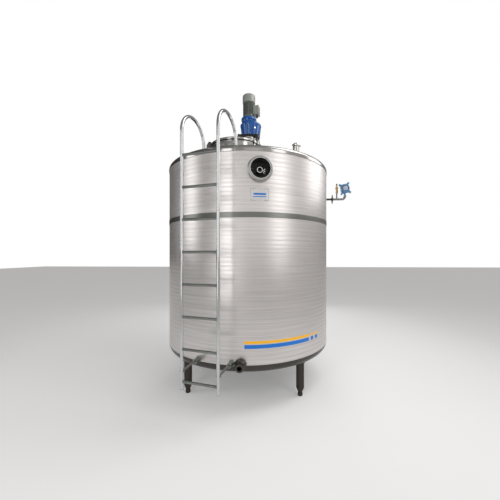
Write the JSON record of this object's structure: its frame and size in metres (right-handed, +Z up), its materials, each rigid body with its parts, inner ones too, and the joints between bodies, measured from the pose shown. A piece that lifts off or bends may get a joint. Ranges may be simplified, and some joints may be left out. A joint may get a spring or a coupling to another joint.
{
  "type": "dairy storage tank",
  "caption": "Upright insulated stainless storage tank on legs, with a top agitator drive, hinged manway lid, side port, bottom outlet, level gauge and access ladder.",
  "frame": {"origin": "centre of the object's box at floor level, on the plane its four feet stand on; the tank's own axis is 167 mm towards -X and 145 mm towards +Y from it", "axes": "+Z up, -Y to the front where the outlet is, +X to the side that carries the level gauge"},
  "size_m": [2.341, 2.2989, 3.635],
  "materials": {
    "shell_stainless": "fine horizontal brushed finish",
    "dark_stainless": "dull satin, dark in its surroundings",
    "bright_stainless": "polished",
    "black_paint": "satin black",
    "blue_paint": "gloss blue enamel",
    "grey_green_paint": "satin grey-green enamel",
    "pale_blue_paint": "satin blue enamel",
    "brass": "satin",
    "nameplate_metal": "printed plate",
    "port_dark": "dark satin"
  },
  "bodies": {
    "tank": {"bottom": "dark_stainless", "drive_plate": "black_paint", "drive_stand": "shell_stainless", "foot_back_left": "dark_stainless", "foot_back_right": "dark_stainless", "foot_front_left": "dark_stainless", "foot_front_right": "dark_stainless", "gauge_branch": "shell_stainless", "gauge_clamp": "bright_stainless", "gauge_nozzle": "shell_stainless", "gauge_pipe": "shell_stainless", "gearbox": "blue_paint", "hinge_bracket": "dark_stainless", "hinge_pin": "bright_stainless", "joint_band": "dark_stainless", "leg_back_left": "dark_stainless", "leg_back_right": "dark_stainless", "leg_front_left": "dark_stainless", "leg_front_right": "dark_stainless", "lid_clamp": "dark_stainless", "lower_wall_back": "shell_stainless", "lower_wall_front": "shell_stainless", "manway_gasket": "black_paint", "manway_neck": "shell_stainless", "motor": "grey_green_paint", "motor_fan_cover": "grey_green_paint", "nameplate": "nameplate_metal", "outlet_nozzle": "dark_stainless", "port_neck": "shell_stainless", "port_nozzle": "bright_stainless", "port_plate": "port_dark", "rail_left": "dark_stainless", "rail_right": "dark_stainless", "relief_fitting": "brass", "roof": "dark_stainless", "rung_1": "dark_stainless", "rung_2": "dark_stainless", "rung_3": "dark_stainless", "rung_4": "dark_stainless", "rung_5": "dark_stainless", "rung_6": "dark_stainless", "rung_7": "dark_stainless", "rung_8": "dark_stainless", "seal_housing": "bright_stainless", "strut_left": "dark_stainless", "strut_right": "dark_stainless", "strut_socket_left": "dark_stainless", "strut_socket_right": "dark_stainless", "terminal_box": "grey_green_paint", "transmitter_head": "pale_blue_paint", "transmitter_neck": "shell_stainless", "upper_wall_back": "shell_stainless", "upper_wall_front": "shell_stainless", "vent_cap": "bright_stainless", "vent_clamp": "bright_stainless", "vent_nozzle": "shell_stainless"},
    "lid": {"manway_lid": "shell_stainless", "lid_hinge_arm": "dark_stainless", "lid_handle": "bright_stainless"}
  },
  "joints": [
    {"name": "lid_hinge", "type": "hinge", "parent": "tank", "child": "lid", "pos_m": [-0.55604, -0.37336, 2.7748], "axis": [0, -1, 0], "range_deg": [0, 105]}
  ]
}
